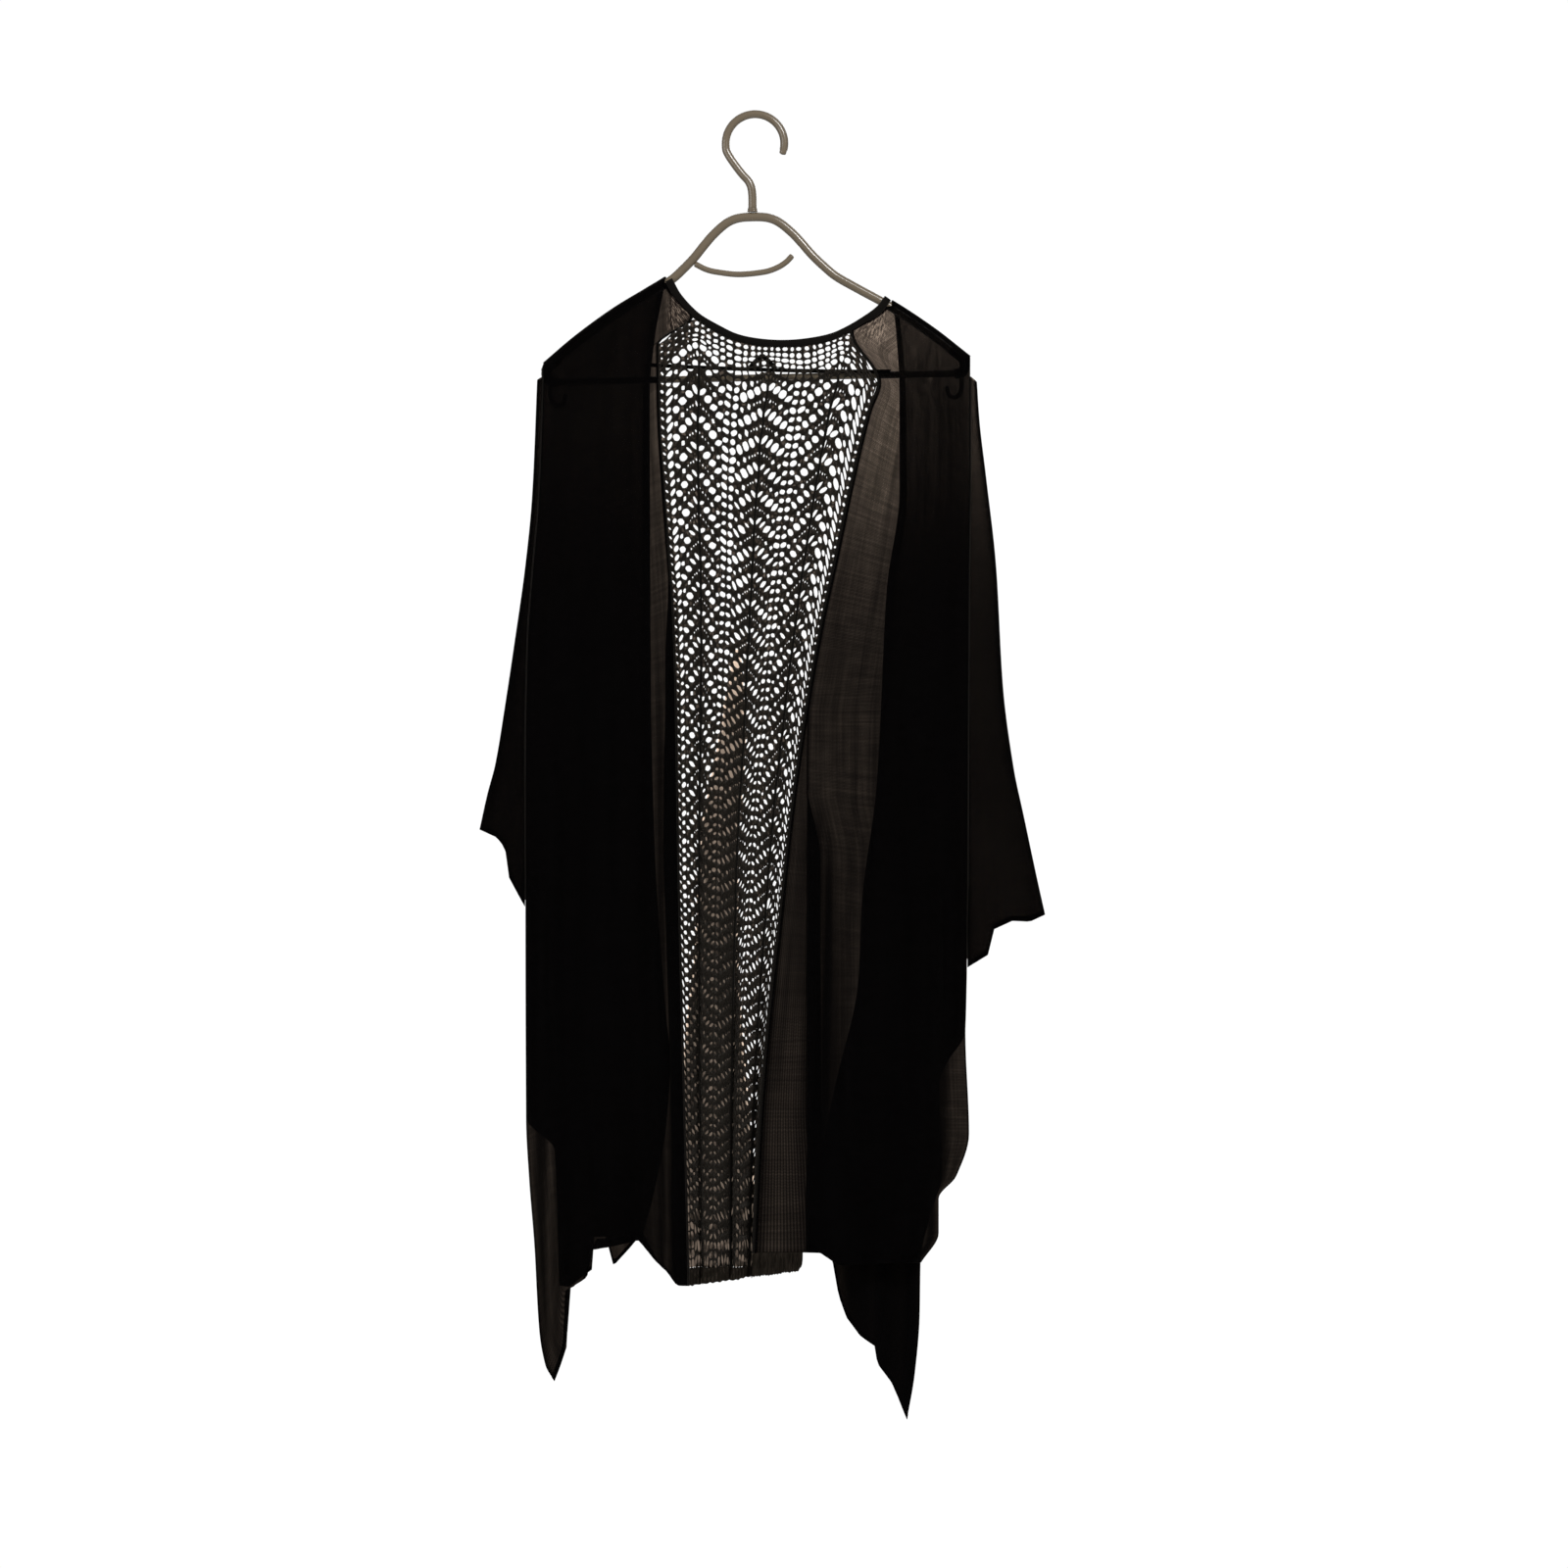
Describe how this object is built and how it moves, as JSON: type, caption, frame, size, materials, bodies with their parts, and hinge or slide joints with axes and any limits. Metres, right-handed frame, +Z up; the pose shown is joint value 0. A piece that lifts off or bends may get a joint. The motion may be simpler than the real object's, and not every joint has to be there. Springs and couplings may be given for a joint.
{
  "type": "kimono cardigan in sheer knit with a lace back, on a clothes hanger",
  "caption": "Open-front black knit kimono cardigan with a lace centre back and side vents, hung flat on a plastic tube hanger by its hook.",
  "frame": {"origin": "inner crest of the hook, where a rail carries the hanger", "axes": "+Z up, +X to the right of the garment's back, -Y the side that the lace back faces, +Y the side of the open fronts"},
  "size_m": [0.5375, 0.0433, 1.2434],
  "materials": {
    "knit": "fine sheer black machine knit, matt, brownish where one layer is lit from behind",
    "lace": "black pointelle knit lace, matt",
    "trim": "narrow black knit binding and tape",
    "hanger": "taupe moulded plastic tube, satin gloss"
  },
  "bodies": {
    "root": {"back_left_panel": "knit", "back_right_panel": "knit", "lace_back_panel": "lace", "hem_band": "knit", "front_left_panel": "knit", "front_right_panel": "knit", "sleeve_left": "knit", "sleeve_right": "knit", "neck_binding": "trim", "back_tape": "trim", "hanger_hook": "hanger", "hanger_collar": "hanger", "hanger_arms": "hanger", "tie_rail": "hanger", "hanger_bar": "hanger", "strap_hook_left": "hanger", "strap_hook_right": "hanger"}
  },
  "joints": []
}
